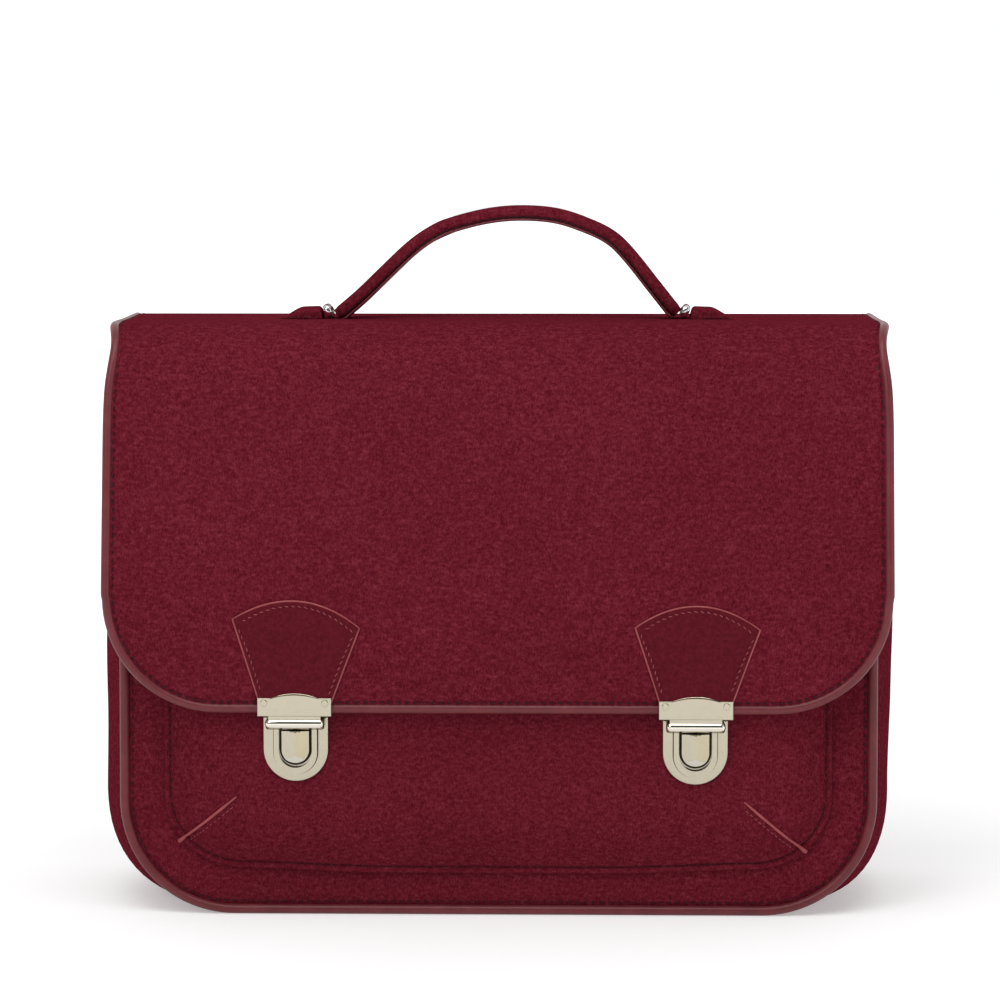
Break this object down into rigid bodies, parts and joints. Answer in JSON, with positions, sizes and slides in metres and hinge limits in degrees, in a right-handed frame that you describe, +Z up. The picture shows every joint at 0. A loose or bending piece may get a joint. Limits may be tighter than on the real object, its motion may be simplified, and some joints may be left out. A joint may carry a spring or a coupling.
{
  "type": "satchel bag",
  "caption": "Felt school satchel with a full front flap on tuck locks, a flat front pocket, leather piping and a short arched top handle.",
  "frame": {"origin": "centre of the face that the bag rests on", "axes": "+Z up, -Y towards the front of the bag, +X to the right when the front is seen"},
  "size_m": [0.374, 0.1356, 0.3293],
  "materials": {
    "felt": "burgundy wool felt",
    "leather": "burgundy smooth leather, satin",
    "cloth": "dark red cotton lining",
    "board": "raw board",
    "cord": "cotton filler cord",
    "nickel": "polished pale nickel",
    "spring_steel": "bright wire"
  },
  "bodies": {
    "body": {"front_panel": "felt", "back_panel": "felt", "gusset": "felt", "front_piping": "leather", "back_piping": "leather", "front_lining": "cloth", "back_lining": "cloth", "gusset_lining": "cloth", "base_board": "board", "front_stiffener": "board", "back_stiffener": "board", "mouth_binding": "leather", "pocket_panel": "felt", "pocket_binding": "leather", "pocket_dart_bindings": "leather", "flap_back_strip": "felt", "lock_base_left": "nickel", "lock_back_plate_left": "nickel", "lock_studs_left": "nickel", "lock_spring_left": "spring_steel", "lock_base_right": "nickel", "lock_back_plate_right": "nickel", "lock_studs_right": "nickel", "lock_spring_right": "spring_steel"},
    "flap_top": {"flap_top_panel": "felt", "flap_top_lining": "cloth", "flap_top_piping": "leather", "handle_chape_left": "felt", "handle_chape_right": "felt"},
    "flap_front": {"flap_front_panel": "felt", "flap_front_lining": "cloth", "flap_front_piping": "leather", "lock_tab_left": "leather", "hasp_left": "nickel", "hasp_clamp_left": "nickel", "hasp_rivets_left": "nickel", "lock_tab_right": "leather", "hasp_right": "nickel", "hasp_clamp_right": "nickel", "hasp_rivets_right": "nickel"},
    "handle": {"handle_core": "cord", "handle_cover": "felt", "handle_underside": "leather", "handle_end_left": "felt", "handle_end_right": "felt"},
    "ring_left": {"handle_ring_left": "nickel"},
    "ring_right": {"handle_ring_right": "nickel"},
    "button_left": {"lock_button_left": "nickel"},
    "button_right": {"lock_button_right": "nickel"}
  },
  "joints": [
    {"name": "flap_back_fold", "type": "hinge", "parent": "body", "child": "flap_top", "pos_m": [0, 0.0516, 0.2747], "axis": [-1, 0, 0], "range_deg": [0, 160]},
    {"name": "flap_front_fold", "type": "hinge", "parent": "flap_top", "child": "flap_front", "pos_m": [0, -0.046, 0.271], "axis": [-1, 0, 0], "range_deg": [0, 90]},
    {"name": "handle_tilt", "type": "hinge", "parent": "flap_top", "child": "handle", "pos_m": [0.003, 0.006, 0.27742], "axis": [1, 0, 0], "range_deg": [-28, 28], "deforming": ["handle_end_left", "handle_end_right"]},
    {"name": "ring_left_swing", "type": "hinge", "parent": "flap_top", "child": "ring_left", "pos_m": [-0.08307, 0.006, 0.28158], "axis": [0, 1, 0], "range_deg": [-8, 8]},
    {"name": "ring_right_swing", "type": "hinge", "parent": "flap_top", "child": "ring_right", "pos_m": [0.08887, 0.006, 0.28158], "axis": [0, 1, 0], "range_deg": [-8, 8]},
    {"name": "button_left_press", "type": "slide", "parent": "body", "child": "button_left", "axis": [0, 1, 0], "range_m": [0, 0.002], "stiffness_N_per_m": 600, "springref_m": -0.002, "deforming": ["lock_spring_left"]},
    {"name": "button_right_press", "type": "slide", "parent": "body", "child": "button_right", "axis": [0, 1, 0], "range_m": [0, 0.002], "stiffness_N_per_m": 600, "springref_m": -0.002, "deforming": ["lock_spring_right"]}
  ]
}
